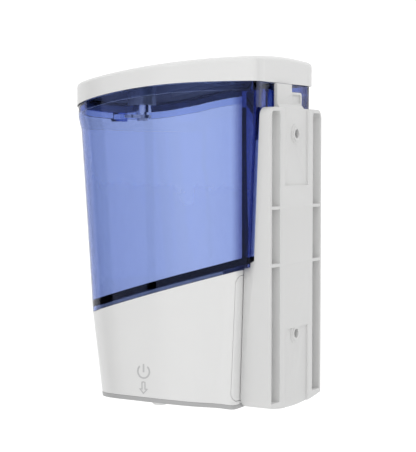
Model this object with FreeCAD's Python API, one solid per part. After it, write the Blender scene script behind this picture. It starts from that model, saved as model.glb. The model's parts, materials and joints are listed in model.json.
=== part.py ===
"""Wall mounted automatic soap dispenser, millimetres.

Frame: +Z up, +X to the right of somebody who faces the wall, -Y out of the wall.
The origin is on the wall plane (Y = 0), half-way between the two wall screws.
"""
import FreeCAD, Part
import math
import os

V = FreeCAD.Vector
os.makedirs("parts", exist_ok=True)

# ---- driving dimensions -------------------------------------------------------------
SCREW_SPACING = 120.0          # between the two wall screws
SCREW_HOLE_R = 2.8
WALL = 2.2                     # moulded wall thickness
GAP = 0.3                      # between neighbouring mouldings

# plan outline of the lid, right half, from the flank to the middle of the front
FLANK = [(47.6, -29.0), (55.0, -41.5), (61.2, -56.0), (64.6, -72.0), (65.3, -88.0), (63.6, -104.0),
         (60.4, -113.5), (55.6, -120.6), (43.4, -128.3), (24.0, -132.4), (0.0, -134.0)]
CORNER_R = 5.0                 # rear corners
REAR_PIVOT = -17.3             # the front tapers towards this depth

# front taper: share of the lid's depth that is left at a height
TAPER = [(106.0, 1.0), (70.0, 1.0), (63.0, 0.981), (-47.5, 0.906), (-104.0, 0.833)]

LID_REAR = -7.0
LID_ARC_R = 466.0              # lower edge of the lid, seen from the side
LID_ARC_Y = -15.0
LID_ARC_Z = 90.0
LID_CROWN_R = 480.0
LID_CROWN_Z = 106.0

SEAM_Z = -19.2                 # tank to housing joint: height at SEAM_Y, and its fall
SEAM_Y = -15.6
SEAM_FALL = 0.302
TANK_SKIRT = 2.7               # clear rim under the tank floor
TANK_FLOOR = 4.2
BODY_INSET = 0.8               # tank and housing stand back from the lid

BOTTOM_REAR = (-20.0, -99.3)   # underside arch, as (Y, Z)
BOTTOM_TOP = (-66.0, -95.0)
BOTTOM_FRONT = (-120.0, -97.6)
BOTTOM_COVER = 2.6

BRACKET_HALF = 34.4
BRACKET_TOP = 75.2
BRACKET_BOTTOM = -103.6
POCKET = (22.1, 33.2)          # side pockets of the bracket, from and to

CHAMBER_Y = -97.0              # outlet, pump mesh and nozzle lie on this line
PUMP_Z = -64.0
GEAR_TEETH = 12
GEAR_MODULE = 1.0
GEAR_THICK = 8.6

LOCK_Y = -110.0
BUTTON = (48.0, -72.0)
SENSOR_Y = -76.0
CELL_R = 7.1
CELL_LENGTH = 50.5
LIFT = 14.0                    # travel that frees the dispenser from its bracket


# ---- helpers ------------------------------------------------------------------------
def box(x0, x1, y0, y1, z0, z1):
    """Box between two corners."""
    return Part.makeBox(x1 - x0, y1 - y0, z1 - z0, V(x0, y0, z0))


def rod(radius, start, end):
    """Cylinder from one point to another."""
    a = V(*start)
    b = V(*end)
    return Part.makeCylinder(radius, (b - a).Length, a, b - a)


def tube(outer, inner, start, end):
    """Hollow cylinder."""
    return rod(outer, start, end).cut(rod(inner, start, end))


def union(shapes):
    """One solid from overlapping ones."""
    shapes = list(shapes)
    first = shapes[0]
    return first.fuse(shapes[1:]).removeSplitter() if len(shapes) > 1 else first


def rounded_rect(x0, x1, z0, z1, r, y0, y1):
    """Rounded rectangle in the XZ plane, extruded from y0 to y1."""
    block = box(x0, x1, y0, y1, z0, z1)
    edges = [e for e in block.Edges if abs(e.tangentAt(e.FirstParameter).y) > 0.99]
    return block.makeFillet(r, edges)


def side_profile(points, x0, x1):
    """Polygon given as (Y, Z) points, extruded along X."""
    wire = Part.makePolygon([V(x0, y, z) for y, z in points] + [V(x0, points[0][0], points[0][1])])
    return Part.Face(wire).extrude(V(x1 - x0, 0, 0))


def slope(levels, z):
    """Value at a height on a line through (z, value) pairs."""
    for (za, va), (zb, vb) in zip(levels, levels[1:]):
        if z >= zb:
            return va + (vb - va) * (za - z) / (za - zb)
    return levels[-1][1]


def corner_points(rear):
    """Rear corner of the outline, bulging out to the flank."""
    x = 38.5 + 0.41 * (-7.0 - rear)
    r = CORNER_R
    return [(x - 2.0 * r, rear), (x - r, rear), (x - 0.3 * r, rear - 0.22 * r), (x + 0.35 * r, rear - 1.15 * r)]


def outline(z, rear, inset=0.0, taper_z=None):
    """Closed plan wire of the body at height z, moved inwards by inset."""
    scale = slope(TAPER, z if taper_z is None else taper_z)
    half = corner_points(rear) + [(x, REAR_PIVOT + scale * (y - REAR_PIVOT)) for x, y in FLANK]
    half = [p for i, p in enumerate(half) if i < 4 or p[1] < half[3][1] - 3.0]
    points = half + [(-x, y) for x, y in reversed(half[:-1])]
    moved = []
    for i, (x, y) in enumerate(points):
        ax, ay = points[max(i - 1, 0)]
        bx, by = points[min(i + 1, len(points) - 1)]
        if i in (0, len(points) - 1):
            ax, ay, bx, by = x - 1.0, y, x + 1.0, y
        length = math.hypot(bx - ax, by - ay)
        moved.append(V(x + inset * (by - ay) / length, y - inset * (bx - ax) / length, z))
    curve = Part.BSplineCurve()
    curve.interpolate(moved)
    back = Part.makeLine(moved[-1], moved[0])
    return Part.Wire([curve.toShape(), back])


def body(levels, inset=0.0):
    """Solid lofted through (z, rear) levels."""
    wires = [outline(z, rear, inset) for z, rear in levels]
    return Part.makeLoft(wires, True, True)


def lid_edge(y):
    """Height of the lid's lower edge at a depth."""
    return LID_ARC_Z - LID_ARC_R + math.sqrt(LID_ARC_R ** 2 - (y - LID_ARC_Y) ** 2)


def under_lid(shift):
    """Everything below the lid's lower edge, moved up by shift."""
    ball = Part.makeCylinder(LID_ARC_R, 200, V(-100, LID_ARC_Y, LID_ARC_Z - LID_ARC_R + shift), V(1, 0, 0))
    rear = box(-100, 100, LID_ARC_Y, 20, -200, LID_ARC_Z + shift)
    front = ball.common(box(-100, 100, -160, LID_ARC_Y, -200, 200))
    return union([front, rear])


def crown(shift):
    """Everything below the lid's domed top, moved by shift."""
    return Part.makeSphere(LID_CROWN_R + shift, V(0, LID_ARC_Y, LID_CROWN_Z - LID_CROWN_R))


def seam(y):
    """Height of the joint between tank and housing at a depth."""
    return SEAM_Z - SEAM_FALL * (SEAM_Y - y)


def below_seam(shift):
    """Everything under the slanted joint, moved up by shift."""
    return side_profile([(10, seam(10) + shift), (-150, seam(-150) + shift), (-150, -200), (10, -200)], -100, 100)


def above_seam(shift):
    """Everything over the slanted joint, moved up by shift."""
    return side_profile([(10, seam(10) + shift), (-150, seam(-150) + shift), (-150, 200), (10, 200)], -100, 100)


def above_bottom(shift):
    """Everything over the arched underside, moved up by shift."""
    arc_points = [V(-100, y, z + shift) for y, z in (BOTTOM_REAR, BOTTOM_TOP, BOTTOM_FRONT)]
    arc = Part.Arc(*arc_points).toShape()
    rear = V(-100, 10, BOTTOM_REAR[1] - 0.6 + shift)
    front = V(-100, -150, BOTTOM_FRONT[1] - 2.0 + shift)
    lines = [Part.makeLine(arc_points[2], front), Part.makeLine(front, V(-100, -150, 200)),
             Part.makeLine(V(-100, -150, 200), V(-100, 10, 200)), Part.makeLine(V(-100, 10, 200), rear),
             Part.makeLine(rear, arc_points[0])]
    wire = Part.Wire(Part.__sortEdges__([arc] + lines))
    return Part.Face(wire).extrude(V(200, 0, 0))


# rear faces of the dispenser, as (z, Y) levels: they lean away from the wall going down
TANK_LEVELS = [(96.0, -8.0), (70.0, -8.4), (63.0, -8.7), (-47.5, -13.3), (-55.0, -13.6)]
HOUSING_LEVELS = [(-12.0, -16.9), (-47.5, -17.9), (-104.0, -19.7)]


def housing_rear(z):
    return slope(HOUSING_LEVELS, z)


# ---- wall bracket -------------------------------------------------------------------
BRACKET_SIDE = [(0.0, 110.0), (-7.2, 110.0), (-7.2, 75.0), (-10.8, -14.5), (-17.2, -18.0), (-19.8, -96.0),
                (-19.3, -98.2), (-17.9, -100.0), (-15.4, -101.2), (-15.4, -110.0), (0.0, -110.0)]


def bracket_front_view(inset):
    """Rear-view outline of the bracket, extruded through its depth."""
    half = BRACKET_HALF - inset
    top = BRACKET_TOP - inset
    low = BRACKET_BOTTOM + inset
    block = rounded_rect(-half, half, low, top, 5.5 - min(inset, 4.0), -30, 5)
    arc_r = 190.0
    disc = Part.makeCylinder(arc_r, 40, V(0, -31, low + arc_r), V(0, 1, 0))
    return block.common(disc.fuse(box(-60, 60, -31, 9, low + 40, 200)))


def wall_bracket():
    shape = side_profile(BRACKET_SIDE, -60, 60).common(bracket_front_view(0))
    skin = 1.6
    hollow = side_profile([(1.0, 73.6), (-5.6, 73.6), (-9.2, -13.0), (-9.2, -16.0), (-15.6, -19.6),
                           (-18.0, -95.0), (-15.8, -98.2), (1.0, -98.2)], -60, 60).common(bracket_front_view(1.6))
    ribs = union([box(-40, 40, -30, 5, z - 0.9, z + 0.9) for z in (16.4, -17.2)])
    for side in (-1, 1):
        x0, x1 = sorted((side * POCKET[0], side * POCKET[1]))
        column = rounded_rect(x0, x1, -110, 73.0, 2.0, -30, 5)
        shape = shape.cut(hollow.common(column).cut(ribs))
    # the middle is a rear skin with an open or boxed hollow in front of it
    inner = POCKET[0] - skin
    shape = shape.cut(box(-inner, inner, -30, -3.2, -12.0, 72.6))
    boxed = side_profile([(-3.2, -20.5), (-15.2, -20.5), (-17.8, -94.5), (-15.4, -98.2), (-3.2, -98.2)],
                         -inner, inner)
    shape = shape.cut(boxed)
    # shallow grooves between the rails, at the top and at the bottom
    for z0, z1 in ((29.2, 80.0), (-110.0, -56.3)):
        shape = shape.cut(box(-15.5, 15.5, -1.0, 5, z0, z1))
    for z in (SCREW_SPACING / 2, -SCREW_SPACING / 2):
        boss = union([rod(6.0, (0, -5.2, z), (0, -0.5, z)), rod(4.3, (0, -5.2, z), (0, 0.0, z))])
        shape = shape.fuse(boss).cut(rod(SCREW_HOLE_R, (0, -30, z), (0, 5, z)))
        shape = shape.cut(rod(7.0, (0, -30, z), (0, -5.2, z)))
    # keyholes that the dispenser's hooks drop into
    for z in HOOK_Z:
        shape = shape.cut(box(-9.4, 9.4, -30, -6.0, z + LIFT - 6.5, z + LIFT + 5.5))
        shape = shape.cut(box(-4.4, 4.4, -30, -6.0, z - 4.6, z + LIFT))
    # locking tongue above the bracket, a tall part and a low part
    tongue = union([rounded_rect(-3.0, 16.4, 72.0, 89.6, 0.8, -7.2, -5.0),
                    rounded_rect(-16.4, -1.5, 72.0, 85.0, 2.0, -7.2, -5.0),
                    side_profile([(-7.2, 72.0), (-7.2, 77.5), (-5.0, 77.5), (-3.2, 75.0), (-3.2, 72.0)],
                                 -16.4, 16.4)])
    tongue = tongue.cut(rounded_rect(-15.0, -3.2, 78.5, 83.6, 0.8, -6.0, -4.0))
    return union([shape, tongue])


HOOK_Z = (-84.0, -42.0)


def hanger_hooks():
    """T-shaped hooks on the back of the housing."""
    parts = []
    for z in HOOK_Z:
        rear = housing_rear(z)
        parts.append(box(-3.9, 3.9, rear - 2.0, -12.8, z - 4.2, z + 4.2))
        parts.append(box(-7.8, 7.8, -14.2, -12.0, z - 4.2, z + 4.2))
    return parts


# ---- housing ------------------------------------------------------------------------
def housing_block(inset):
    """Filled housing between joint and underside."""
    return body(HOUSING_LEVELS, BODY_INSET + inset)


def battery_panel(grow):
    """Rear-view shape of the battery cover, extruded through the housing's back."""
    x0 = 10.5 - grow
    points = [(x0, -97.0 - grow), (42.3 + grow, -97.0 - grow), (40.9 + grow, -23.2 + grow), (x0, -23.2 + grow)]
    wire = Part.makePolygon([V(x, -40, z) for x, z in points] + [V(points[0][0], -40, points[0][1])])
    block = Part.Face(wire).extrude(V(0, 40, 0))
    edges = [e for e in block.Edges if abs(e.tangentAt(e.FirstParameter).y) > 0.99 and e.Vertexes[0].X > 30]
    return block.makeFillet(4.5 + grow, edges)


def housing_shell():
    outer = housing_block(0).common(below_seam(-0.15)).common(above_bottom(0))
    inner = housing_block(WALL)
    shell = outer.cut(inner.common(box(-100, 100, -150, 0, -120, 20)))
    behind = box(-60, 60, -27.0, 0, -60, 20)
    root = housing_block(WALL - 0.4).cut(housing_block(3.7)).common(below_seam(-1.6)).common(above_seam(-5.0))
    shell = union([shell, root.cut(behind)])
    lip = housing_block(2.5).cut(housing_block(4.2)).common(below_seam(2.2)).common(above_seam(-3.4))
    shell = union([shell, lip.cut(behind)] + hanger_hooks())
    shell = shell.cut(battery_panel(GAP).common(box(-60, 60, -31, -12, -120, 0)))
    posts = []
    for x, y in SCREW_POSTS:
        top = seam(y) - 9.0
        posts.append(rod(3.6, (x, y, -91.8), (x, y, top)))
        if y > -60.0:
            posts.append(box(x - 0.8, x + 0.8, y, 0, -90.0, top - 3.0))
        else:
            x0, x1 = sorted((x, math.copysign(70.0, x)))
            posts.append(box(x0, x1, y - 0.8, y + 0.8, -90.0, top - 3.0))
    shell = union([shell, union(posts).common(housing_block(WALL - 0.4))])
    for x, y in SCREW_POSTS:
        shell = shell.cut(rod(1.3, (x, y, -100), (x, y, -70)))
    return shell


SCREW_POSTS = [(52.0, -92.0), (-52.0, -92.0), (-44.0, -40.0), (3.0, -40.0)]


def battery_cover():
    skin = housing_block(0).cut(housing_block(WALL)).common(battery_panel(0))
    return skin.common(box(-60, 60, -30.5, -12, -120, 0))


def bottom_cover():
    plate = housing_block(0).common(above_bottom(-BOTTOM_COVER)).cut(above_bottom(-0.15))
    rim = housing_block(WALL + GAP).cut(housing_block(WALL + 1.8)).common(above_bottom(-0.6))
    rim = rim.cut(above_bottom(3.2)).cut(box(8.0, 60, -31, 0, -120, 0))
    plate = union([plate, rim])
    for x, y in SCREW_POSTS:
        plate = plate.cut(rod(1.9, (x, y, -110), (x, y, -80)))
        plate = plate.cut(rod(3.4, (x, y, -110), (x, y, arch_z(y) - 1.3)))
    plate = plate.cut(rod(6.0, (0, CHAMBER_Y, -110), (0, CHAMBER_Y, -80)))
    plate = plate.cut(box(-12.3, 12.3, SENSOR_Y - 5.3, SENSOR_Y + 5.3, -110, -80))
    plate = plate.cut(rod(1.7, (22.0, SENSOR_Y, -110), (22.0, SENSOR_Y, -80)))
    plate = plate.cut(rod(6.3, (BUTTON[0], BUTTON[1], -110), (BUTTON[0], BUTTON[1], -80)))
    return plate


def arch_z(y):
    """Height of the underside's arch at a depth, from the three driving points."""
    (y0, z0), (y1, z1), (y2, z2) = BOTTOM_REAR, BOTTOM_TOP, BOTTOM_FRONT
    a = z0 * (y - y1) * (y - y2) / ((y0 - y1) * (y0 - y2))
    b = z1 * (y - y0) * (y - y2) / ((y1 - y0) * (y1 - y2))
    c = z2 * (y - y0) * (y - y1) / ((y2 - y0) * (y2 - y1))
    return a + b + c


# ---- tank ---------------------------------------------------------------------------
def tank():
    outer = body(TANK_LEVELS, BODY_INSET).common(under_lid(-GAP)).common(above_seam(0.15))
    inner = body(TANK_LEVELS, BODY_INSET + WALL)
    shell = outer.cut(inner)
    rim = body(TANK_LEVELS, WALL + 0.6).cut(body(TANK_LEVELS, 4.6)).common(under_lid(3.6)).cut(under_lid(-5.0))
    floor = body(TANK_LEVELS, BODY_INSET + WALL - 0.4).common(above_seam(TANK_SKIRT))
    floor = floor.cut(above_seam(TANK_SKIRT + TANK_FLOOR))
    shape = union([shell, rim, floor])
    floor_z = seam(CHAMBER_Y) + TANK_SKIRT
    shape = union([shape, rod(4.4, (0, CHAMBER_Y, floor_z + 1.0), (0, CHAMBER_Y, -48.5)),
                   rod(11.0, (0, CHAMBER_Y, floor_z + 2.6), (0, CHAMBER_Y, floor_z - 2.4))])
    shape = shape.cut(rod(2.8, (0, CHAMBER_Y, -60), (0, CHAMBER_Y, 0)))
    shape = shape.cut(rod(7.6, (0, CHAMBER_Y, floor_z + 0.6), (0, CHAMBER_Y, 0)))
    # strike with a slot for the lock's cam, inside the front wall
    front = REAR_PIVOT + 0.985 * (FLANK[-1][1] - REAR_PIVOT)
    strike = box(-5.2, 4.2, front + 0.6, front + 7.6, 68.8, 74.8)
    strike = strike.cut(box(-3.8, 20.0, front + 3.4, front + 12.0, 70.2, 73.4))
    # the lower rear edge leans back to pass the step of the bracket
    step = side_profile([(0.0, -14.0), (-11.2, -14.0), (-17.9, -17.8), (-17.9, -25.0), (0.0, -25.0)], -35.4, 35.4)
    return union([shape, strike, rear_stiffening()]).cut(step)


def rear_stiffening():
    """Solid rear corners, and upright ribs behind the collar, that stiffen the flat rear wall."""
    inside = body(TANK_LEVELS, BODY_INSET + 0.6)
    depth = -16.6
    corners = [box(x0, x1, depth, 0, -40, 84) for x0, x1 in ((33.2, 60.0), (-60.0, -33.2))]
    ribs = [box(8.0 * i - 2.2, 8.0 * i + 2.2, depth, 0, 56, 86) for i in range(-3, 4)]
    pads = [piece.common(inside).common(above_seam(TANK_SKIRT + 1.0)) for piece in corners + ribs]
    return union(pads)


def tank_gasket():
    ring = body(TANK_LEVELS, BODY_INSET + 4.3).cut(body(TANK_LEVELS, BODY_INSET + 5.9))
    ring = ring.common(above_seam(0.6)).cut(above_seam(TANK_SKIRT - 0.1))
    return ring.cut(box(-60, 60, -28.5, 0, -60, 20))


def outlet_strainer():
    z = seam(CHAMBER_Y) + TANK_SKIRT + 0.6
    dome = union([rod(7.3, (0, CHAMBER_Y, z), (0, CHAMBER_Y, z + 1.0)),
                  tube(6.0, 5.0, (0, CHAMBER_Y, z + 1.0), (0, CHAMBER_Y, z + 6.0)),
                  rod(6.0, (0, CHAMBER_Y, z + 6.0), (0, CHAMBER_Y, z + 7.0))])
    dome = dome.cut(rod(3.4, (0, CHAMBER_Y, z - 1), (0, CHAMBER_Y, z + 6.0)))
    for i in range(4):
        slot = box(-8, 8, CHAMBER_Y - 0.6, CHAMBER_Y + 0.6, z + 1.6, z + 5.4)
        slot.rotate(V(0, CHAMBER_Y, 0), V(0, 0, 1), 45 * i)
        dome = dome.cut(slot)
    return dome


def suction_sleeve():
    return tube(6.6, 4.4, (0, CHAMBER_Y, -54.6), (0, CHAMBER_Y, -45.2))


def delivery_sleeve():
    return tube(4.8, 3.0, (0, CHAMBER_Y, -84.5), (0, CHAMBER_Y, -73.2))


# ---- pump ---------------------------------------------------------------------------
GEAR_R = GEAR_MODULE * GEAR_TEETH / 2
DRIVE_Y = CHAMBER_Y + GEAR_R
IDLER_Y = CHAMBER_Y - GEAR_R
CAVITY_R = GEAR_R + 1.15
PUMP_X = (-9.0, 7.0)


def gear(centre_y, phase):
    """Spur gear on an axis along X; phase in degrees turns one tooth centre to that angle."""
    profile = []
    for i in range(GEAR_TEETH):
        middle = phase + 360.0 / GEAR_TEETH * i
        for half, radius in ((-9.6, 4.7), (-6.4, 6.0), (-3.0, 6.9), (3.0, 6.9), (6.4, 6.0), (9.6, 4.7)):
            angle = math.radians(middle + half)
            profile.append(V(-1.8, centre_y + radius * math.cos(angle), PUMP_Z + radius * math.sin(angle)))
    face = Part.Face(Part.makePolygon(profile + [profile[0]]))
    return face.extrude(V(GEAR_THICK, 0, 0))


def drive_gear():
    shaft = rod(1.0, (-40.0, DRIVE_Y, PUMP_Z), (6.6, DRIVE_Y, PUMP_Z))
    return union([gear(DRIVE_Y, 180.0), shaft])


def idler_gear():
    return gear(IDLER_Y, 180.0 / GEAR_TEETH).cut(rod(1.56, (-20, IDLER_Y, PUMP_Z), (20, IDLER_Y, PUMP_Z)))


def idler_pin():
    return rod(1.5, (-6.0, IDLER_Y, PUMP_Z), (8.5, IDLER_Y, PUMP_Z))


def pump_body():
    y0, y1 = IDLER_Y - 10.0, DRIVE_Y + 10.0
    shape = rounded_rect_x(PUMP_X[0], PUMP_X[1], y0, y1, PUMP_Z - 9.2, PUMP_Z + 9.2, 3.0)
    shape = union([shape, rod(4.4, (0, CHAMBER_Y, PUMP_Z), (0, CHAMBER_Y, -52.5)),
                   rod(3.0, (0, CHAMBER_Y, PUMP_Z), (0, CHAMBER_Y, -78.4))])
    shape = shape.cut(rod(2.4, (0, CHAMBER_Y, PUMP_Z), (0, CHAMBER_Y, -40)))
    shape = shape.cut(rod(1.8, (0, CHAMBER_Y, PUMP_Z), (0, CHAMBER_Y, -90)))
    for y in (DRIVE_Y, IDLER_Y):
        shape = shape.cut(rod(CAVITY_R, (-2.0, y, PUMP_Z), (20, y, PUMP_Z)))
    shape = shape.cut(rod(1.06, (-20, DRIVE_Y, PUMP_Z), (0, DRIVE_Y, PUMP_Z)))
    shape = shape.cut(rod(1.5, (-6.0, IDLER_Y, PUMP_Z), (0, IDLER_Y, PUMP_Z)))
    for y, z in PUMP_SCREWS:
        shape = shape.cut(rod(1.1, (-6, y, z), (10, y, z)))
    return shape


def rounded_rect_x(x0, x1, y0, y1, z0, z1, r):
    """Box whose edges along X are rounded."""
    block = box(x0, x1, y0, y1, z0, z1)
    edges = [e for e in block.Edges if abs(e.tangentAt(e.FirstParameter).x) > 0.99]
    return block.makeFillet(r, edges)


PUMP_SCREWS = [(y, PUMP_Z + dz) for y in (IDLER_Y - 7.6, DRIVE_Y + 7.6) for dz in (-6.6, 6.6)]


def pump_cover():
    y0, y1 = IDLER_Y - 10.0, DRIVE_Y + 10.0
    shape = rounded_rect_x(PUMP_X[1], PUMP_X[1] + 2.6, y0, y1, PUMP_Z - 9.2, PUMP_Z + 9.2, 3.0)
    shape = shape.cut(rod(1.5, (0, IDLER_Y, PUMP_Z), (8.5, IDLER_Y, PUMP_Z)))
    for y, z in PUMP_SCREWS:
        shape = shape.cut(rod(1.3, (0, y, z), (20, y, z)))
    return shape


def screw(radius, head_r, tip, seat, head):
    """Pan-head screw along the line from tip to head."""
    return union([rod(radius, tip, head), rod(head_r, seat, head)])


def pump_screws():
    x = PUMP_X[1] + 2.6
    return Part.makeCompound([screw(1.05, 2.0, (-4.0, y, z), (x, y, z), (x + 1.4, y, z)) for y, z in PUMP_SCREWS])


MOTOR_X = (-34.0, -9.0)
MOTOR_R = 10.2


def motor_can():
    can = rod(MOTOR_R, (MOTOR_X[0], DRIVE_Y, PUMP_Z), (MOTOR_X[1], DRIVE_Y, PUMP_Z))
    can = can.cut(rod(MOTOR_R - 0.8, (MOTOR_X[0] - 1, DRIVE_Y, PUMP_Z), (MOTOR_X[1] - 0.8, DRIVE_Y, PUMP_Z)))
    return can.cut(rod(1.06, (-40, DRIVE_Y, PUMP_Z), (0, DRIVE_Y, PUMP_Z)))


def motor_cap():
    cap = union([rod(MOTOR_R, (MOTOR_X[0] - 2.0, DRIVE_Y, PUMP_Z), (MOTOR_X[0], DRIVE_Y, PUMP_Z)),
                 rod(3.4, (MOTOR_X[0] - 4.0, DRIVE_Y, PUMP_Z), (MOTOR_X[0] - 1.0, DRIVE_Y, PUMP_Z))])
    cap = union([cap] + [box(MOTOR_X[0] - 4.4, MOTOR_X[0] - 1.0, DRIVE_Y + s * 6.4 - 1.2, DRIVE_Y + s * 6.4 + 1.2,
                             PUMP_Z - 0.3, PUMP_Z + 0.3) for s in (-1, 1)])
    return cap.cut(rod(1.06, (-60, DRIVE_Y, PUMP_Z), (0, DRIVE_Y, PUMP_Z)))


def motor_magnets():
    ring = tube(MOTOR_R - 0.8, 7.9, (-30.0, DRIVE_Y, PUMP_Z), (-13.0, DRIVE_Y, PUMP_Z))
    halves = [ring.common(box(-40, 0, DRIVE_Y - 20, DRIVE_Y + 20, PUMP_Z + 1.5, PUMP_Z + 20)),
              ring.common(box(-40, 0, DRIVE_Y - 20, DRIVE_Y + 20, PUMP_Z - 20, PUMP_Z - 1.5))]
    return Part.makeCompound(halves)


def motor_rotor():
    core = rod(7.3, (-29.0, DRIVE_Y, PUMP_Z), (-14.0, DRIVE_Y, PUMP_Z))
    for i in range(3):
        slot = box(-35, -5, DRIVE_Y - 1.0, DRIVE_Y + 1.0, PUMP_Z + 3.4, PUMP_Z + 9)
        slot.rotate(V(0, DRIVE_Y, PUMP_Z), V(1, 0, 0), 120 * i)
        core = core.cut(slot)
    commutator = rod(2.4, (-32.6, DRIVE_Y, PUMP_Z), (-29.0, DRIVE_Y, PUMP_Z))
    return union([core, commutator]).cut(rod(1.0, (-60, DRIVE_Y, PUMP_Z), (0, DRIVE_Y, PUMP_Z)))


def pump_cradle():
    y0, y1 = IDLER_Y - 4.0, DRIVE_Y + 7.2
    plate = box(-38.0, 13.0, y0, y1, PUMP_Z - 11.4, PUMP_Z - 9.4)
    saddles = [box(x, x + 3.0, DRIVE_Y - 12.0, DRIVE_Y + 12.0, PUMP_Z - 10.0, PUMP_Z - 2.0) for x in (-32.0, -18.0)]
    legs = [rod(2.6, (x, y, arch_z(y) + 0.3), (x, y, PUMP_Z - 10.5)) for x in (-35.0, 10.0)
            for y in (y0 + 3.2, y1 - 3.2)]
    shape = union([plate] + saddles + legs)
    shape = shape.cut(rod(MOTOR_R + 0.1, (-60, DRIVE_Y, PUMP_Z), (0, DRIVE_Y, PUMP_Z)))
    return shape.cut(rod(5.4, (0, CHAMBER_Y, -90), (0, CHAMBER_Y, PUMP_Z)))


# ---- nozzle and electronics ---------------------------------------------------------
def nozzle():
    z = arch_z(CHAMBER_Y)
    shape = union([rod(5.7, (0, CHAMBER_Y, -110.0), (0, CHAMBER_Y, -89.0)),
                   rod(7.6, (0, CHAMBER_Y, z + 0.2), (0, CHAMBER_Y, -90.0)),
                   rod(3.0, (0, CHAMBER_Y, -90.0), (0, CHAMBER_Y, -79.4)),
                   Part.makeCone(5.7, 4.4, 2.0, V(0, CHAMBER_Y, -110.0), V(0, 0, -1))])
    shape = shape.cut(rod(1.8, (0, CHAMBER_Y, -120.0), (0, CHAMBER_Y, -70.0)))
    return shape.cut(rod(3.3, (0, CHAMBER_Y, -120.0), (0, CHAMBER_Y, -104.5)))


def check_valve():
    flange = rod(3.25, (0, CHAMBER_Y, -106.0), (0, CHAMBER_Y, -104.5))
    bill = Part.makeCone(2.6, 1.5, 5.0, V(0, CHAMBER_Y, -106.0), V(0, 0, -1))
    return union([flange, bill]).cut(box(-0.2, 0.2, CHAMBER_Y - 1.4, CHAMBER_Y + 1.4, -115, -106.5)).cut(
        rod(1.2, (0, CHAMBER_Y, -109.5), (0, CHAMBER_Y, -100)))


BOARD_Z = (-86.0, -84.4)


def circuit_board():
    board = box(-30.0, 55.0, SENSOR_Y - 8.0, SENSOR_Y + 12.0, BOARD_Z[0], BOARD_Z[1])
    for x in (-27.0, 32.0):
        board = board.cut(rod(1.6, (x, SENSOR_Y + 9.0, -100), (x, SENSOR_Y + 9.0, -70)))
    return board


def board_parts():
    top = BOARD_Z[1]
    items = [box(-4.0, 4.0, -72.0, -67.0, top, top + 1.6), box(10.0, 13.0, -72.0, -68.0, top, top + 1.2),
             box(-16.0, -12.0, -71.0, -68.0, top, top + 1.2), rod(2.5, (20.0, -70.0, top), (20.0, -70.0, top + 7.0)),
             box(36.0, 46.0, -70.0, -65.0, top, top + 5.0), box(-26.0, -18.0, -82.0, -77.0, top, top + 5.0)]
    return Part.makeCompound(items)


def sensor_lamp(x):
    z = BOARD_Z[0]
    stem = union([rod(2.5, (x, SENSOR_Y, z - 4.4), (x, SENSOR_Y, z)),
                  Part.makeSphere(2.5, V(x, SENSOR_Y, z - 4.4))])
    return stem.common(box(-40, 60, -120, -40, z - 8, z))


def sensor_window():
    z = arch_z(SENSOR_Y)
    pane = rounded_box_z(-12.0, 12.0, SENSOR_Y - 5.0, SENSOR_Y + 5.0, z - BOTTOM_COVER + 0.3, z - 0.4, 2.0)
    ledge = box(-14.5, 14.5, SENSOR_Y - 5.0, SENSOR_Y + 5.0, z + 0.6, z + 1.8)
    neck = box(-11.6, 11.6, SENSOR_Y - 4.6, SENSOR_Y + 4.6, z - 0.6, z + 1.0)
    return union([pane, neck, ledge])


def rounded_box_z(x0, x1, y0, y1, z0, z1, r):
    """Box whose upright edges are rounded."""
    block = box(x0, x1, y0, y1, z0, z1)
    edges = [e for e in block.Edges if abs(e.tangentAt(e.FirstParameter).z) > 0.99]
    return block.makeFillet(r, edges)


def status_led():
    z = arch_z(SENSOR_Y)
    return union([rod(1.5, (22.0, SENSOR_Y, z - BOTTOM_COVER + 0.2), (22.0, SENSOR_Y, BOARD_Z[0])),
                  rod(2.6, (22.0, SENSOR_Y, BOARD_Z[0] - 2.0), (22.0, SENSOR_Y, BOARD_Z[0]))])


def switch_body():
    x, y = BUTTON
    return union([box(x - 3.0, x + 3.0, y - 3.0, y + 3.0, BOARD_Z[0] - 3.4, BOARD_Z[0]),
                  rod(1.7, (x, y, BOARD_Z[0] - 4.0), (x, y, BOARD_Z[0] - 3.0))])


def power_button():
    x, y = BUTTON
    z = arch_z(y)
    shape = union([rod(6.0, (x, y, z - BOTTOM_COVER - 1.2), (x, y, z + 0.4)),
                   rod(7.4, (x, y, z + 0.5), (x, y, z + 1.5)), rod(6.0, (x, y, z + 0.3), (x, y, z + 0.6)),
                   rod(2.0, (x, y, z + 1.4), (x, y, BOARD_Z[0] - 5.4))])
    low = [e for e in shape.Edges if abs(e.BoundBox.ZMax - (z - BOTTOM_COVER - 1.2)) < 0.01]
    return shape.makeFillet(0.8, low)


def case_screws():
    screws = []
    for x, y in SCREW_POSTS:
        z = arch_z(y) - 1.4
        screws.append(screw(1.25, 3.1, (x, y, z + 12.0), (x, y, z), (x, y, z - 1.1)))
    return Part.makeCompound(screws)


# ---- batteries ----------------------------------------------------------------------
CELL_XY = [(x, y) for x in (18.4, 33.0) for y in (-31.4, -46.0)]
CELL_Z = -84.4


def battery_box():
    outer = box(9.2, 42.0, -55.0, -24.2, CELL_Z - 5.0, CELL_Z + CELL_LENGTH + 3.4)
    hollow = box(10.8, 40.6, -53.6, -20.0, CELL_Z - 3.4, CELL_Z + CELL_LENGTH + 2.0)
    shape = outer.cut(hollow)
    divider = box(25.2, 26.2, -53.8, -50.5, CELL_Z - 4.0, CELL_Z + CELL_LENGTH + 2.6)
    return union([shape, divider]).common(housing_block(WALL + 0.2))


def cell(x, y, up):
    low, high = CELL_Z, CELL_Z + CELL_LENGTH
    body_z = (low, high - 1.6) if up else (low + 1.6, high)
    tip = (high - 1.7, high) if up else (low, low + 1.7)
    return union([rod(CELL_R, (x, y, body_z[0]), (x, y, body_z[1])), rod(2.7, (x, y, tip[0]), (x, y, tip[1]))])


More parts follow.
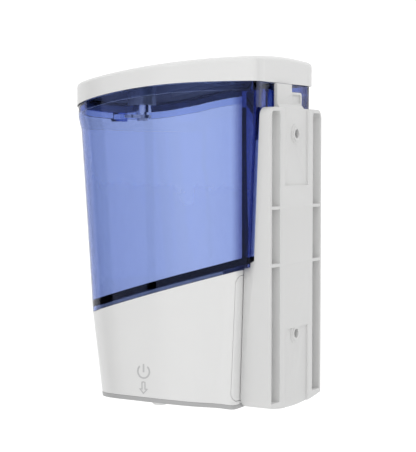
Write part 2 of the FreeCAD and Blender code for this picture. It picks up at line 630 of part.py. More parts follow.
def battery_cells():
    return Part.makeCompound([cell(x, y, (i % 2) == 0) for i, (x, y) in enumerate(CELL_XY)])


def contact_spring(x, y, z0, z1):
    """Conical contact as a stack of rings on a post, one closed solid."""
    turns = 4
    pitch = (z1 - z0) / turns
    rings = [Part.makeTorus(3.4 - 0.25 * i, 0.4, V(x, y, z0 + pitch * (i + 0.5))) for i in range(turns)]
    post = tube(3.3, 2.2, (x, y, min(z0, z1)), (x, y, max(z0, z1)))
    return union([post] + rings).common(box(x - 8, x + 8, y - 8, y + 8, min(z0, z1), max(z0, z1)))


def contact_springs():
    springs = []
    for i, (x, y) in enumerate(CELL_XY):
        if i % 2 == 0:
            springs.append(contact_spring(x, y, CELL_Z - 3.0, CELL_Z - 0.05))
        else:
            springs.append(contact_spring(x, y, CELL_Z + CELL_LENGTH + 0.05, CELL_Z + CELL_LENGTH + 1.6))
    return Part.makeCompound(springs)


def contact_plates():
    plates = []
    for i, (x, y) in enumerate(CELL_XY):
        high = CELL_Z + CELL_LENGTH
        plates.append(box(x - 4.5, x + 4.5, y - 4.5, y + 4.5, high + 1.6, high + 2.0))
        plates.append(box(x - 4.5, x + 4.5, y - 4.5, y + 4.5, CELL_Z - 3.4, CELL_Z - 3.0))
    return Part.makeCompound(plates)


# ---- lid and lock -------------------------------------------------------------------
def lid_cover():
    outer = lid_prism(0.0).common(crown(0))
    top = [e for e in outer.Edges if e.BoundBox.ZMin > 84.0 and e.Length > 20]
    outer = outer.makeFillet(2.8, top)
    inner = lid_prism(WALL).common(crown(-WALL))
    shell = outer.cut(inner).cut(under_lid(0))
    crown_z = crown_height(LOCK_Y)
    boss = rod(9.0, (0, LOCK_Y, 79.2), (0, LOCK_Y, crown_z - 1.0))
    ribs = []
    for x in (-40.0, -20.0, 20.0, 40.0):
        ribs.append(box(x - 0.7, x + 0.7, -112.0, -24.0, 60, 100).cut(under_lid(6.0)))
    ribs.append(box(-54.0, 54.0, -70.7, -69.3, 60, 100).cut(under_lid(6.0)))
    ribs = union(ribs).common(crown(0.5 - WALL)).common(lid_prism(WALL - 0.4))
    shape = union([shell, boss, ribs])
    shape = shape.cut(rod(5.9, (0, LOCK_Y, 70), (0, LOCK_Y, crown_z + 5)))
    return shape.cut(rod(7.4, (0, LOCK_Y, crown_z - 0.6), (0, LOCK_Y, crown_z + 5)))


def crown_height(y):
    """Height of the lid's dome on the centre line at a depth."""
    return LID_CROWN_Z - LID_CROWN_R + math.sqrt(LID_CROWN_R ** 2 - (y - LID_ARC_Y) ** 2)


def lid_gasket():
    ring = lid_prism(WALL).cut(lid_prism(WALL + 2.6))
    return ring.common(under_lid(5.2)).cut(under_lid(3.75))


def lid_prism(inset):
    wires = [outline(z, LID_REAR, inset, 106.0) for z in (60.0, 115.0)]
    return Part.makeLoft(wires, True, True)


def lock_barrel():
    top = crown_height(LOCK_Y)
    barrel = union([rod(5.85, (0, LOCK_Y, 74.4), (0, LOCK_Y, top)),
                    rod(7.2, (0, LOCK_Y, top - 0.55), (0, LOCK_Y, top + 0.7))])
    ring = [e for e in barrel.Edges if e.BoundBox.ZMin > top + 0.6]
    barrel = barrel.makeFillet(0.5, ring)
    return barrel.cut(rod(4.3, (0, LOCK_Y, 60), (0, LOCK_Y, 120)))


def lock_cylinder():
    top = crown_height(LOCK_Y)
    plug = rod(4.25, (0, LOCK_Y, 72.9), (0, LOCK_Y, top + 0.3))
    plug = plug.cut(box(-3.0, 3.0, LOCK_Y - 0.6, LOCK_Y + 0.6, top - 9.0, top + 5))
    return union([plug, rod(2.2, (0, LOCK_Y, 69.0), (0, LOCK_Y, 73.0))])


def lock_cam():
    arm = union([rod(5.75, (0, LOCK_Y, 70.8), (0, LOCK_Y, 72.7)),
                 box(0, 14.5, LOCK_Y - 3.2, LOCK_Y + 3.2, 70.8, 72.7), rod(3.2, (14.5, LOCK_Y, 70.8),
                                                                            (14.5, LOCK_Y, 72.7))])
    return arm.cut(rod(2.25, (0, LOCK_Y, 60), (0, LOCK_Y, 80)))


def lock_nut():
    nut = Part.makePolygon([V(3.4 * math.cos(math.radians(60 * i)), LOCK_Y + 3.4 * math.sin(math.radians(60 * i)),
                              69.2) for i in range(7)])
    nut = Part.Face(nut).extrude(V(0, 0, 1.5))
    return nut.cut(rod(2.25, (0, LOCK_Y, 60), (0, LOCK_Y, 80)))


# ---- everything ---------------------------------------------------------------------
NODES = {
    "wall_bracket": wall_bracket, "housing_shell": housing_shell, "battery_cover": battery_cover,
    "bottom_cover": bottom_cover, "tank": tank, "tank_gasket": tank_gasket, "outlet_strainer": outlet_strainer,
    "suction_sleeve": suction_sleeve, "delivery_sleeve": delivery_sleeve, "pump_drive_gear": drive_gear,
    "pump_idler_gear": idler_gear, "idler_pin": idler_pin, "pump_body": pump_body, "pump_cover": pump_cover,
    "pump_screws": pump_screws, "motor_can": motor_can, "motor_cap": motor_cap, "motor_magnets": motor_magnets,
    "motor_rotor": motor_rotor, "pump_cradle": pump_cradle, "nozzle": nozzle, "check_valve": check_valve,
    "circuit_board": circuit_board, "board_parts": board_parts, "sensor_window": sensor_window,
    "status_led": status_led, "switch_body": switch_body, "power_button": power_button,
    "case_screws": case_screws, "battery_box": battery_box, "battery_cells": battery_cells,
    "contact_springs": contact_springs, "contact_plates": contact_plates, "lid_cover": lid_cover,
    "lid_gasket": lid_gasket, "lock_barrel": lock_barrel, "lock_cylinder": lock_cylinder, "lock_cam": lock_cam,
    "lock_nut": lock_nut,
}

for name, make in NODES.items():
    shape = make()
    print(name, shape.isValid(), len(shape.Solids), round(shape.Volume, 1))
    shape.exportStep("parts/" + name + ".step")
for name, x in (("sensor_emitter", -7.0), ("sensor_receiver", 7.0)):
    shape = sensor_lamp(x)
    print(name, shape.isValid(), len(shape.Solids), round(shape.Volume, 1))
    shape.exportStep("parts/" + name + ".step")
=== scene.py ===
# %% [markdown]
# # A wall mounted soap dispenser, seen from behind
# This lesson takes a dispenser whose mechanical parts are already solid models and makes it look real.
# The solids come first, because every later piece is placed by them. All lengths are metres, +Z is up,
# the wall is the plane Y = 0 and the user stands on the -Y side.

# %% Load the solid parts
import json
import math

import bpy
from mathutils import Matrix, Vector

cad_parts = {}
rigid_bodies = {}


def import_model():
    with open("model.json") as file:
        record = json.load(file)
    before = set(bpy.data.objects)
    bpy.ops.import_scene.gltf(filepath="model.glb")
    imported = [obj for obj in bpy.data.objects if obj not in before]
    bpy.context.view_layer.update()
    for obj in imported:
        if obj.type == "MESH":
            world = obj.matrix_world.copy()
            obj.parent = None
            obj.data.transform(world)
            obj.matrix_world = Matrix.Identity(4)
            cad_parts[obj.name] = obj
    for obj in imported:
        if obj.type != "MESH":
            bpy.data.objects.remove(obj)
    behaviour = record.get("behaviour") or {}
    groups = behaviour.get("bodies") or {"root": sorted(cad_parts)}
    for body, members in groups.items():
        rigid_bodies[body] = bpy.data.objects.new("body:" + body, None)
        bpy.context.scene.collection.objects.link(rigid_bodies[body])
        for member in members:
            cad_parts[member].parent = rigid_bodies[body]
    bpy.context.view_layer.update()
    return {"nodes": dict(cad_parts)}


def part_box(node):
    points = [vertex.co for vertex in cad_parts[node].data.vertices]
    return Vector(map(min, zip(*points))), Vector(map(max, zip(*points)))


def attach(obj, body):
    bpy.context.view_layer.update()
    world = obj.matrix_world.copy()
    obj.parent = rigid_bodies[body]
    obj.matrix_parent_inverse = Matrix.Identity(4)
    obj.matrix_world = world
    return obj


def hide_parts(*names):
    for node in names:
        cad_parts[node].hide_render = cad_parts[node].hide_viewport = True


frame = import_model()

bpy.ops.object.select_all(action="DESELECT")

# %% [markdown]
# ## Camera
# The dispenser is shown off its wall, from behind and from the right. A long lens a little under a metre
# away keeps the upright edges nearly parallel. Two angles set the view: 30 degrees round from the side,
# and three degrees down.

# %% Place the camera
LENS_MM = 106.2
SENSOR_MM = 36.0
CAMERA_PLACE = Vector((0.7201, 0.3521, 0.0465))
TURN = math.radians(30.0)
TILT = math.radians(2.99)
SIDE_SHIFT = 0.0066

look = Vector((-math.cos(TURN) * math.cos(TILT), -math.sin(TURN) * math.cos(TILT), -math.sin(TILT)))
bpy.ops.object.camera_add(location=CAMERA_PLACE, rotation=look.to_track_quat("-Z", "Y").to_euler())
camera = bpy.context.object
camera.name = "studio_camera"
camera.data.lens = LENS_MM
camera.data.sensor_width = SENSOR_MM
camera.data.shift_x = SIDE_SHIFT
camera.data.clip_end = 100.0
bpy.context.scene.camera = camera
print("camera looks along", [round(v, 3) for v in look])

# %% [markdown]
# ## Studio
# A bright room on all sides gives white plastic its even, almost shadowless look. A pale floor far below
# does the same from underneath.

# %% Build the floor and the room light
ROOM_STRENGTH = 1.22
FLOOR_HEIGHT = -0.75

bpy.ops.mesh.primitive_plane_add(size=60.0, location=(0.0, 0.0, FLOOR_HEIGHT))
floor = bpy.context.object
floor.name = "studio_floor"

paint = bpy.data.materials.new("studio_floor_paint")
paint.use_nodes = True
floor_shader = paint.node_tree.nodes["Principled BSDF"]
floor_shader.inputs["Base Color"].default_value = (0.97, 0.97, 0.97, 1.0)
floor_shader.inputs["Roughness"].default_value = 0.9
floor.data.materials.append(paint)

world = bpy.data.worlds.new("studio_room")
world.use_nodes = True
world.node_tree.nodes["Background"].inputs["Color"].default_value = (1.0, 1.0, 1.0, 1.0)
world.node_tree.nodes["Background"].inputs["Strength"].default_value = ROOM_STRENGTH
bpy.context.scene.world = world
bpy.context.scene.view_settings.view_transform = "Standard"
print("room strength", ROOM_STRENGTH, "and floor at", FLOOR_HEIGHT)

# %% [markdown]
# ## Cards and lamps
# One soft lamp at the side and one overhead make the curved flank show where it turns. Clear plastic needs
# something dark to reflect as well, or it looks washed out, so three upright black cards stand round the
# dispenser. The camera can't see the cards, but the tank reflects them.

# %% Stand the cards and hang the lamps
MIDDLE = Vector((0.0, -0.06, 0.0))
CARD_HEIGHT = 1.3


def soft_lamp(name, place, size, power):
    """Square lamp that points at the middle of the dispenser."""
    aim = (MIDDLE - Vector(place)).to_track_quat("-Z", "Y").to_euler()
    bpy.ops.object.light_add(type="AREA", location=place, rotation=aim)
    lamp = bpy.context.object
    lamp.name = name
    lamp.data.size = size
    lamp.data.energy = power


def dark_card(name, place, width):
    """Upright black card that faces the dispenser, takes light away from one side and stays out of view."""
    aim = (Vector((MIDDLE.x, MIDDLE.y, place[2])) - Vector(place)).to_track_quat("Z", "Y").to_euler()
    bpy.ops.mesh.primitive_plane_add(size=1.0, location=place, rotation=aim)
    card = bpy.context.object
    card.name = name
    card.scale = (width, CARD_HEIGHT, 1.0)
    card.data.materials.append(card_paint)
    card.visible_camera = False


card_paint = bpy.data.materials.new("studio_card_paint")
card_paint.use_nodes = True
card_shader = card_paint.node_tree.nodes["Principled BSDF"]
card_shader.inputs["Base Color"].default_value = (0.02, 0.02, 0.02, 1.0)
dark_card("card_front", (0.55, -1.05, 0.1), 0.55)
dark_card("card_behind", (-0.35, 0.95, 0.1), 0.40)
dark_card("card_side", (1.15, -0.28, 0.1), 0.16)
soft_lamp("lamp_side", (1.3, 0.1, 0.7), 0.8, 1.6)
soft_lamp("lamp_above", (0.0, 0.0, 1.9), 1.6, 3.0)
print("three cards and two lamps are in place")

# %% [markdown]
# ## A shared surface effect
# Moulded plastic is never one flat colour. It has a faint cloudiness, a fine skin left by the steel of the
# mould, and smears that make some areas glossier than others. One node group makes these from noise
# and each material sets its own amounts.

# %% Make the node group for moulded surfaces


def group_socket(tree, name, kind, side, value=None):
    """Named socket on a node group."""
    socket = tree.interface.new_socket(name=name, in_out=side, socket_type=kind)
    if value is not None:
        socket.default_value = value


def moulded_surface_group():
    """Cloudy colour, uneven gloss and a fine skin, from three noises on the object's own coordinates."""
    tree = bpy.data.node_groups.new("moulded_surface", "ShaderNodeTree")
    group_socket(tree, "Colour", "NodeSocketColor", "INPUT", (0.8, 0.8, 0.8, 1.0))
    group_socket(tree, "Cloudiness", "NodeSocketFloat", "INPUT", 0.05)
    group_socket(tree, "Roughness", "NodeSocketFloat", "INPUT", 0.3)
    group_socket(tree, "Smear", "NodeSocketFloat", "INPUT", 0.08)
    group_socket(tree, "Grain Size", "NodeSocketFloat", "INPUT", 900.0)
    group_socket(tree, "Colour", "NodeSocketColor", "OUTPUT")
    group_socket(tree, "Roughness", "NodeSocketFloat", "OUTPUT")
    group_socket(tree, "Height", "NodeSocketFloat", "OUTPUT")
    nodes, links = tree.nodes, tree.links
    given = nodes.new("NodeGroupInput")
    result = nodes.new("NodeGroupOutput")
    place = nodes.new("ShaderNodeTexCoord")

    cloud = nodes.new("ShaderNodeTexNoise")
    cloud.inputs["Scale"].default_value = 26.0
    cloud.inputs["Detail"].default_value = 3.0
    links.new(place.outputs["Object"], cloud.inputs["Vector"])
    shade = nodes.new("ShaderNodeMix")
    shade.data_type = "RGBA"
    shade.blend_type = "MULTIPLY"
    links.new(given.outputs["Cloudiness"], shade.inputs["Factor"])
    links.new(given.outputs["Colour"], shade.inputs["A"])
    links.new(cloud.outputs["Fac"], shade.inputs["B"])
    links.new(shade.outputs["Result"], result.inputs["Colour"])

    smear = nodes.new("ShaderNodeTexNoise")
    smear.inputs["Scale"].default_value = 55.0
    smear.inputs["Detail"].default_value = 5.0
    smear.inputs["Distortion"].default_value = 0.6
    links.new(place.outputs["Object"], smear.inputs["Vector"])
    centred = nodes.new("ShaderNodeMath")
    centred.operation = "SUBTRACT"
    centred.inputs[1].default_value = 0.5
    links.new(smear.outputs["Fac"], centred.inputs[0])
    uneven = nodes.new("ShaderNodeMath")
    uneven.operation = "MULTIPLY_ADD"
    links.new(centred.outputs["Value"], uneven.inputs[0])
    links.new(given.outputs["Smear"], uneven.inputs[1])
    links.new(given.outputs["Roughness"], uneven.inputs[2])
    links.new(uneven.outputs["Value"], result.inputs["Roughness"])

    grain = nodes.new("ShaderNodeTexNoise")
    grain.inputs["Detail"].default_value = 2.0
    links.new(place.outputs["Object"], grain.inputs["Vector"])
    links.new(given.outputs["Grain Size"], grain.inputs["Scale"])
    links.new(grain.outputs["Fac"], result.inputs["Height"])
    return tree


surface_group = moulded_surface_group()
print("node group", surface_group.name, "has", len(surface_group.nodes), "nodes")

# %% [markdown]
# ## Finishes
# Each finish is a Principled shader fed by the group. Metals get the same group with a finer grain, because
# rolled and plated steel has small scratches rather than clouds.

# %% Make the opaque finishes
SHELL_COLOUR = (0.64, 0.64, 0.637)
SHELL_ROUGHNESS = 0.30
SKIN_DEPTH = 0.0002


def finish(name, colour, roughness, cloudiness=0.05, smear=0.08, grain=900.0, bump=0.04,
           metallic=0.0, coat=0.0):
    """Material whose colour, gloss and bump come from the moulded surface group."""
    material = bpy.data.materials.new(name)
    material.use_nodes = True
    nodes, links = material.node_tree.nodes, material.node_tree.links
    shader = nodes["Principled BSDF"]
    effect = nodes.new("ShaderNodeGroup")
    effect.node_tree = surface_group
    effect.inputs["Colour"].default_value = (*colour, 1.0)
    effect.inputs["Cloudiness"].default_value = cloudiness
    effect.inputs["Roughness"].default_value = roughness
    effect.inputs["Smear"].default_value = smear
    effect.inputs["Grain Size"].default_value = grain
    relief = nodes.new("ShaderNodeBump")
    relief.inputs["Strength"].default_value = bump
    relief.inputs["Distance"].default_value = SKIN_DEPTH
    links.new(effect.outputs["Colour"], shader.inputs["Base Color"])
    links.new(effect.outputs["Roughness"], shader.inputs["Roughness"])
    links.new(effect.outputs["Height"], relief.inputs["Height"])
    links.new(relief.outputs["Normal"], shader.inputs["Normal"])
    shader.inputs["Metallic"].default_value = metallic
    shader.inputs["Coat Weight"].default_value = coat
    return material


shell_white = finish("shell_white", SHELL_COLOUR, SHELL_ROUGHNESS)
bracket_white = finish("bracket_white", (0.60, 0.60, 0.597), 0.42, cloudiness=0.06, grain=1400.0, bump=0.08)
# painted shade: this grey stands in for the shade on the down-facing cover underneath and the power button
underside_painted_shade = finish("underside_painted_shade", (0.36, 0.36, 0.362), 0.45, grain=1600.0, bump=0.10)
mark_grey = finish("mark_grey", (0.44, 0.44, 0.445), 0.5)
pump_grey = finish("pump_grey", (0.36, 0.37, 0.38), 0.5, grain=1500.0, bump=0.1)
milky_silicone = finish("milky_silicone", (0.80, 0.81, 0.81), 0.55, cloudiness=0.1, bump=0.06)
# the lid gasket wears this black as painted shade, darkening the ring under the lid seen through the tank
seal_black_and_lid_shade = finish("seal_black_and_lid_shade", (0.035, 0.035, 0.04), 0.7, cloudiness=0.15, bump=0.15)
gear_acetal = finish("gear_acetal", (0.85, 0.84, 0.79), 0.4)
motor_steel = finish("motor_steel", (0.60, 0.60, 0.61), 0.32, smear=0.25, grain=3500.0, bump=0.12,
                     metallic=1.0)
ferrite_black = finish("ferrite_black", (0.09, 0.09, 0.10), 0.65, bump=0.2)
part_black = finish("part_black", (0.03, 0.03, 0.032), 0.45, bump=0.08)
lock_chrome = finish("lock_chrome", (0.78, 0.78, 0.79), 0.12, smear=0.12, grain=2500.0, bump=0.03,
                     metallic=1.0)
lens_milk = finish("lens_milk", (0.72, 0.84, 0.74), 0.3, coat=0.4)
window_dark = finish("window_dark", (0.045, 0.008, 0.014), 0.12, smear=0.05, bump=0.01, coat=0.6)
print("made", len(bpy.data.materials), "materials so far")

# %% [markdown]
# ## Patterned finishes
# Two hidden parts have a printed pattern. The circuit board has copper tracks under green lacquer, which a
# brick texture gives as straight lines. The cells have a dark jacket with a copper-coloured end, which is
# a step in height turned into a colour.

# %% Make the board and the cell jackets
JACKET_COLOUR = (0.03, 0.03, 0.035)
COPPER_COLOUR = (0.42, 0.20, 0.07)
COPPER_START = 0.78


def board_finish():
    """Green lacquer with lighter tracks."""
    material = finish("board_green", (0.02, 0.20, 0.08), 0.35, coat=0.5)
    nodes, links = material.node_tree.nodes, material.node_tree.links
    place = nodes.new("ShaderNodeTexCoord")
    tracks = nodes.new("ShaderNodeTexBrick")
    tracks.inputs["Color1"].default_value = (0.015, 0.16, 0.06, 1.0)
    tracks.inputs["Color2"].default_value = (0.02, 0.20, 0.08, 1.0)
    tracks.inputs["Mortar"].default_value = (0.06, 0.36, 0.14, 1.0)
    tracks.inputs["Scale"].default_value = 60.0
    tracks.inputs["Mortar Size"].default_value = 0.03
    links.new(place.outputs["Object"], tracks.inputs["Vector"])
    links.new(tracks.outputs["Color"], nodes["Principled BSDF"].inputs["Base Color"])
    return material


def jacket_finish(low, high):
    """Dark jacket whose top fifth is copper-coloured, between two heights."""
    material = finish("cell_jacket", JACKET_COLOUR, 0.25, coat=0.6)
    nodes, links = material.node_tree.nodes, material.node_tree.links
    place = nodes.new("ShaderNodeTexCoord")
    split = nodes.new("ShaderNodeSeparateXYZ")
    share = nodes.new("ShaderNodeMapRange")
    bands = nodes.new("ShaderNodeValToRGB")
    links.new(place.outputs["Object"], split.inputs["Vector"])
    links.new(split.outputs["Z"], share.inputs["Value"])
    share.inputs["From Min"].default_value = low
    share.inputs["From Max"].default_value = high
    links.new(share.outputs["Result"], bands.inputs["Fac"])
    ramp = bands.color_ramp
    ramp.interpolation = "CONSTANT"
    ramp.elements[0].color = (*JACKET_COLOUR, 1.0)
    ramp.elements[1].position = COPPER_START
    ramp.elements[1].color = (*COPPER_COLOUR, 1.0)
    links.new(bands.outputs["Color"], nodes["Principled BSDF"].inputs["Base Color"])
    return material


board_green = board_finish()
cell_low, cell_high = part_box("battery_cells")
cell_jacket = jacket_finish(cell_low[2], cell_high[2])
print("cells run from", round(cell_low[2], 4), "to", round(cell_high[2], 4))

# %% [markdown]
# ## The lid
# Under the lid it is dark, because the blue tank takes most of the light that would reach it. The renderer
# finds some of that darkness by itself. The rest is put into the colour: wherever the lid's surface faces
# down, the shell's white is mixed towards grey.

# %% Make the lid's material
# where the lid's painted shade starts and where it is full, read from the height part of the surface normal
LID_PAINTED_SHADE_START = -0.4
LID_PAINTED_SHADE_FULL = -0.8


def lid_finish_with_painted_shade():
    """The shell's white, with painted shade: mixed towards grey wherever the surface faces down into the
    tank.
    """
    material = finish("lid_white_with_painted_shade", SHELL_COLOUR, SHELL_ROUGHNESS)
    nodes, links = material.node_tree.nodes, material.node_tree.links
    effect = nodes["Group"]
    surface = nodes.new("ShaderNodeNewGeometry")
    split = nodes.new("ShaderNodeSeparateXYZ")
    down = nodes.new("ShaderNodeMapRange")
    shade = nodes.new("ShaderNodeMix")
    shade.data_type = "RGBA"
    links.new(surface.outputs["Normal"], split.inputs["Vector"])
    links.new(split.outputs["Z"], down.inputs["Value"])
    down.inputs["From Min"].default_value = LID_PAINTED_SHADE_START
    down.inputs["From Max"].default_value = LID_PAINTED_SHADE_FULL
    links.new(down.outputs["Result"], shade.inputs["Factor"])
    links.new(effect.outputs["Colour"], shade.inputs["A"])
    # painted shade: the dark grey that the lid's down-facing surfaces are mixed towards
    shade.inputs["B"].default_value = (0.16, 0.16, 0.165, 1.0)
    links.new(shade.outputs["Result"], nodes["Principled BSDF"].inputs["Base Color"])
    return material


lid_white_with_painted_shade = lid_finish_with_painted_shade()
print("the lid turns grey where its normal points down")

# %% [markdown]
# ## The clear blue tank
# The tank is a real shell with thick walls, a thicker floor and a rim, so it can be true refracting plastic.
# A surface tint alone would make every wall the same blue. Absorption inside the plastic is better: light
# that runs along the floor or round a corner travels further, and those places turn darker, as they do in
# a real moulding. Three tints on the surface add to it: a deep navy where the wall is seen edge on, which
# is painted shade; a dark blue at the two solid rear corners, partly the colour of their thicker plastic
# and partly painted shade; and a blue tint that keeps the reflections of the bright room down.

# %% Make the tank's material
# where the rear corners' dark tint, partly painted shade, starts and where it is full
REAR_START = -0.0215
REAR_FULL = -0.0165
REAR_SHARE = 0.8
CORNER_START = 0.029
CORNER_FULL = 0.033


def ramp_between(nodes, start, full, share=1.0):
    """Map Range node that rises from nothing at start to share at full."""
    ramp = nodes.new("ShaderNodeMapRange")
    ramp.inputs["From Min"].default_value = start
    ramp.inputs["From Max"].default_value = full
    ramp.inputs["To Max"].default_value = share
    return ramp


def rear_corner_thickness_and_shade(nodes, links):
    """Mask for the rear corners' dark tint, partly their thicker plastic and partly painted shade: strong at
    the tank's two solid rear corners and nothing elsewhere.
    """
    place = nodes.new("ShaderNodeTexCoord")
    split = nodes.new("ShaderNodeSeparateXYZ")
    links.new(place.outputs["Object"], split.inputs["Vector"])
    rear = ramp_between(nodes, REAR_START, REAR_FULL, REAR_SHARE)
    links.new(split.outputs["Y"], rear.inputs["Value"])
    sideways = nodes.new("ShaderNodeMath")
    sideways.operation = "ABSOLUTE"
    links.new(split.outputs["X"], sideways.inputs[0])
    corner = ramp_between(nodes, CORNER_START, CORNER_FULL)
    links.new(sideways.outputs["Value"], corner.inputs["Value"])
    both = nodes.new("ShaderNodeMath")
    both.operation = "MULTIPLY"
    links.new(rear.outputs["Result"], both.inputs[0])
    links.new(corner.outputs["Result"], both.inputs[1])
    return both.outputs["Value"]


def tank_finish():
    """Clear plastic that absorbs red and green with distance, with painted shade where a wall is seen edge
    on and a dark rear-corner tint that is partly thicker plastic and partly painted shade.
    """
    material = bpy.data.materials.new("tank_blue")
    material.use_nodes = True
    nodes, links = material.node_tree.nodes, material.node_tree.links
    shader = nodes["Principled BSDF"]
    facing = nodes.new("ShaderNodeLayerWeight")
    facing.inputs["Blend"].default_value = 0.12
    # painted shade: the wall is mixed towards deep navy where it is seen edge on
    edge_on_painted_shade = nodes.new("ShaderNodeMix")
    edge_on_painted_shade.data_type = "RGBA"
    edge_on_painted_shade.inputs["A"].default_value = (0.96, 0.97, 1.0, 1.0)
    edge_on_painted_shade.inputs["B"].default_value = (0.01, 0.015, 0.06, 1.0)
    links.new(facing.outputs["Facing"], edge_on_painted_shade.inputs["Factor"])
    # the rear corners' dark blue: partly the colour of their thicker plastic, partly painted shade
    thick = nodes.new("ShaderNodeMix")
    thick.data_type = "RGBA"
    thick.inputs["B"].default_value = (0.05, 0.06, 0.28, 1.0)
    links.new(rear_corner_thickness_and_shade(nodes, links), thick.inputs["Factor"])
    links.new(edge_on_painted_shade.outputs["Result"], thick.inputs["A"])
    links.new(thick.outputs["Result"], shader.inputs["Base Color"])
    shader.inputs["Transmission Weight"].default_value = 1.0
    shader.inputs["IOR"].default_value = 1.49
    shader.inputs["Specular Tint"].default_value = (0.30, 0.36, 0.70, 1.0)
    effect = nodes.new("ShaderNodeGroup")
    effect.node_tree = surface_group
    effect.inputs["Roughness"].default_value = 0.03
    effect.inputs["Smear"].default_value = 0.04
    links.new(effect.outputs["Roughness"], shader.inputs["Roughness"])
    absorb = nodes.new("ShaderNodeVolumeAbsorption")
    absorb.inputs["Color"].default_value = (0.11, 0.28, 0.70, 1.0)
    absorb.inputs["Density"].default_value = 320.0
    links.new(absorb.outputs["Volume"], nodes["Material Output"].inputs["Volume"])
    return material


tank_blue = tank_finish()
print("the tank's walls absorb as they thicken")

# %% [markdown]
# ## Give each part its finish
# A list of finishes, each with the names of its parts, reads like a shopping list and makes it easy to see
# that nothing was forgotten.

# %% Assign the finishes
FINISHES = [
    (lid_white_with_painted_shade, ["lid_cover"]),
    (shell_white, ["housing_shell", "battery_cover", "nozzle", "pump_cradle", "outlet_strainer"]),
    (bracket_white, ["wall_bracket"]),
    # painted shade for the down-facing cover and button
    (underside_painted_shade, ["bottom_cover", "power_button"]),
    (tank_blue, ["tank"]),
    (pump_grey, ["pump_body", "pump_cover", "battery_box"]),
    (milky_silicone, ["suction_sleeve", "delivery_sleeve", "check_valve"]),
    # painted shade: the lid gasket is black to darken the ring under the lid
    (seal_black_and_lid_shade, ["tank_gasket", "lid_gasket"]),
    (gear_acetal, ["pump_drive_gear", "pump_idler_gear"]),
    (motor_steel, ["idler_pin", "pump_screws", "motor_can", "motor_rotor", "case_screws", "contact_springs",
                   "contact_plates", "lock_cam", "lock_nut"]),
    (ferrite_black, ["motor_magnets"]),
    (part_black, ["motor_cap", "board_parts", "switch_body"]),
    (lock_chrome, ["lock_barrel", "lock_cylinder"]),
    (lens_milk, ["status_led"]),
    (window_dark, ["sensor_window", "sensor_emitter", "sensor_receiver"]),
    (board_green, ["circuit_board"]),
    (cell_jacket, ["battery_cells"]),
]

dressed = set()
for material, names in FINISHES:
    for name in names:
        for slot in frame["nodes"][name].material_slots:
            slot.material = material
        dressed.add(name)
print("parts without a finish:", sorted(set(frame["nodes"]) - dressed))

# %% [markdown]
# ## Marks on the flank
# The power mark and the arrow under it are thin raised prints on a curved wall. They could be a texture, but
# then the exported shape would lose them. Here each one is made flat in the YZ plane, out beside the wall,
# then pushed onto it by a Shrinkwrap modifier along X and given its thickness by Solidify.

# %% Press a flat mark onto the wall
MARK_Y = -0.0683
MARK_RELIEF = 0.00012
MARK_CLEARANCE = 0.00003
START_X = 0.080
wall = frame["nodes"]["housing_shell"]


def settle_on_wall(piece):
    """Pushes a flat mark onto the housing's flank and gives it a little thickness."""
    bpy.ops.object.mode_set(mode="OBJECT")
    bpy.ops.object.transform_apply(location=True, rotation=True, scale=True)
    wrap = piece.modifiers.new("onto_wall", "SHRINKWRAP")
    wrap.target = wall
    wrap.wrap_method = "PROJECT"
    wrap.use_project_x = True
    wrap.use_project_y = False
    wrap.use_project_z = False
    wrap.use_negative_direction = True
    wrap.use_positive_direction = False
    wrap.offset = MARK_CLEARANCE
    bpy.ops.object.modifier_apply(modifier=wrap.name)
    bpy.ops.object.mode_set(mode="EDIT")
    bpy.ops.mesh.select_all(action="SELECT")
    bpy.ops.mesh.normals_make_consistent(inside=False)
    bpy.ops.object.mode_set(mode="OBJECT")
    outward = sum(face.normal.x for face in piece.data.polygons)
    if outward < 0.0:
        piece.data.flip_normals()
    thick = piece.modifiers.new("relief", "SOLIDIFY")
    thick.thickness = MARK_RELIEF
    thick.offset = 1.0
    bpy.ops.object.modifier_apply(modifier=thick.name)
    piece.data.materials.clear()
    piece.data.materials.append(mark_grey)
    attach(piece, "dispenser")
    xs = [vertex.co.x for vertex in piece.data.vertices]
    print(piece.name, "lies between X", round(min(xs), 4), "and", round(max(xs), 4))


print("marks start at X", START_X, "and settle on", wall.name)

# %% [markdown]
# ### The ring and its bar
# The sign for power is a ring with a gap at the top and a short bar in the gap. A circle's edges are
# extruded and drawn in to make the ring's strip, and the faces near the top are deleted. The bar is a grid,
# because a single face could not bend to the wall.

# %% Make the power mark
RING_HEIGHT = -0.0798
RING_RADIUS = 0.0043
STROKE = 0.00095
GAP_HALF_ANGLE = math.radians(38.0)
BAR_RISE = 0.0020
BAR_LENGTH = 0.0048

bpy.ops.object.select_all(action="DESELECT")
bpy.ops.mesh.primitive_circle_add(vertices=72, radius=RING_RADIUS, location=(START_X, MARK_Y, RING_HEIGHT),
                                  rotation=(0.0, math.pi / 2.0, 0.0))
ring = bpy.context.object
ring.name = "power_mark_ring"
bpy.ops.object.transform_apply(location=True, rotation=True, scale=True)
bpy.ops.object.mode_set(mode="EDIT")
bpy.ops.mesh.select_all(action="SELECT")
inner_share = (RING_RADIUS - STROKE) / RING_RADIUS
bpy.ops.mesh.extrude_edges_move()
bpy.ops.transform.resize(value=(inner_share, inner_share, inner_share),
                         center_override=(START_X, MARK_Y, RING_HEIGHT))
bpy.ops.mesh.select_all(action="DESELECT")
bpy.ops.object.mode_set(mode="OBJECT")
for face in ring.data.polygons:
    sideways = face.center.y - MARK_Y
    upwards = face.center.z - RING_HEIGHT
    face.select = abs(math.atan2(sideways, upwards)) < GAP_HALF_ANGLE
bpy.ops.object.mode_set(mode="EDIT")
bpy.ops.mesh.select_mode(type="FACE")
bpy.ops.mesh.delete(type="FACE")
settle_on_wall(ring)

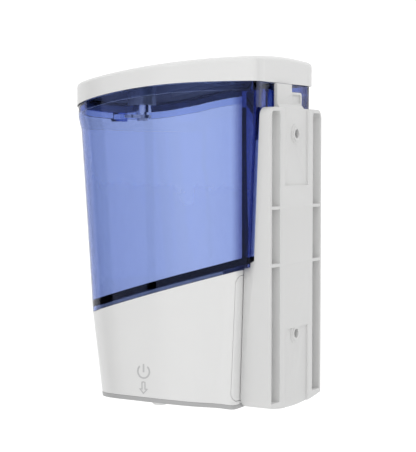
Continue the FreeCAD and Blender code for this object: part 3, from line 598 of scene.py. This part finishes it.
bpy.ops.object.select_all(action="DESELECT")
bpy.ops.mesh.primitive_grid_add(x_subdivisions=14, y_subdivisions=3, size=1.0,
                                location=(START_X, MARK_Y, RING_HEIGHT + BAR_RISE),
                                rotation=(0.0, math.pi / 2.0, 0.0))
bar = bpy.context.object
bar.name = "power_mark_bar"
bar.scale = (BAR_LENGTH, STROKE, 1.0)
settle_on_wall(bar)

# %% [markdown]
# ### The arrow
# The arrow under the ring points at the button. Its outline is listed once for one side and mirrored. A
# filled circle with as many corners as the outline takes its shape, an inset draws the line, and deleting
# the middle leaves an open arrow.

# %% Make the arrow
ARROW_TOP = -0.0859
ARROW_NECK = -0.0899
ARROW_TIP = -0.0932
STEM_HALF = 0.0013
HEAD_HALF = 0.0030
ARROW_STROKE = 0.00062
CROWN_RISE = 0.0003
BARB_DROP = 0.0001
stem_and_head = [(0.0, ARROW_TOP + CROWN_RISE), (STEM_HALF, ARROW_TOP), (STEM_HALF, ARROW_NECK),
                 (HEAD_HALF, ARROW_NECK - BARB_DROP), (0.0, ARROW_TIP)]
left_side = [(-y, z) for y, z in reversed(stem_and_head[1:-1])]
outline = stem_and_head + left_side

bpy.ops.object.select_all(action="DESELECT")
bpy.ops.mesh.primitive_circle_add(vertices=len(outline), radius=HEAD_HALF, fill_type="NGON",
                                  location=(START_X, MARK_Y, ARROW_NECK))
arrow = bpy.context.object
arrow.name = "press_arrow"
bpy.ops.object.transform_apply(location=True, rotation=True, scale=True)
for vertex, (y, z) in zip(arrow.data.vertices, outline):
    vertex.co = Vector((START_X, MARK_Y + y, z))
bpy.ops.object.mode_set(mode="EDIT")
bpy.ops.mesh.select_all(action="SELECT")
bpy.ops.mesh.inset(thickness=ARROW_STROKE, depth=0.0)
bpy.ops.mesh.delete(type="FACE")
bpy.ops.mesh.select_all(action="SELECT")
bpy.ops.mesh.subdivide(number_cuts=4)
settle_on_wall(arrow)

# %% [markdown]
# ## Soften the moulded edges
# Two of the solid parts have knife edges, and real mouldings never do: a fine round catches the light along
# every rim. For the bracket and the cover underneath, a copy of the part's mesh is welded, its flat areas
# are dissolved back to whole faces, and a Bevel modifier rounds what is sharper than thirty-five degrees.
# The copy then stands in for the part.

# %% Round the bracket and the cover underneath
WELD_DISTANCE = 0.00001
SAME_FACE_ANGLE = math.radians(0.5)
SHARP_ANGLE = math.radians(35.0)
SMOOTH_ANGLE = math.radians(32.0)


def soft_copy(node, name, body, material, width, segments=2):
    """Welded and bevelled copy of a part that stands in for it."""
    source = frame["nodes"][node]
    piece = source.copy()
    piece.data = source.data.copy()
    piece.name = name
    bpy.context.scene.collection.objects.link(piece)
    bpy.ops.object.select_all(action="DESELECT")
    piece.select_set(True)
    bpy.context.view_layer.objects.active = piece
    bpy.ops.object.parent_clear(type="CLEAR_KEEP_TRANSFORM")
    for key in [key for key in piece.keys() if key.startswith("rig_")]:
        del piece[key]
    bpy.ops.mesh.customdata_custom_splitnormals_clear()
    bpy.ops.object.mode_set(mode="EDIT")
    bpy.ops.mesh.select_all(action="SELECT")
    bpy.ops.mesh.remove_doubles(threshold=WELD_DISTANCE)
    bpy.ops.mesh.dissolve_limited(angle_limit=SAME_FACE_ANGLE)
    bpy.ops.object.mode_set(mode="OBJECT")
    rounding = piece.modifiers.new("rounding", "BEVEL")
    rounding.width = width
    rounding.segments = segments
    rounding.limit_method = "ANGLE"
    rounding.angle_limit = SHARP_ANGLE
    rounding.use_clamp_overlap = True
    bpy.ops.object.modifier_apply(modifier=rounding.name)
    bpy.ops.object.shade_smooth_by_angle(angle=SMOOTH_ANGLE)
    piece.data.materials.clear()
    piece.data.materials.append(material)
    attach(piece, body)
    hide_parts(node)
    print(name, "has", len(piece.data.polygons), "faces")


soft_copy("wall_bracket", "bracket_moulding", "bracket", bracket_white, 0.0006)
soft_copy("bottom_cover", "underside_tray", "dispenser", underside_painted_shade, 0.0012, segments=4)
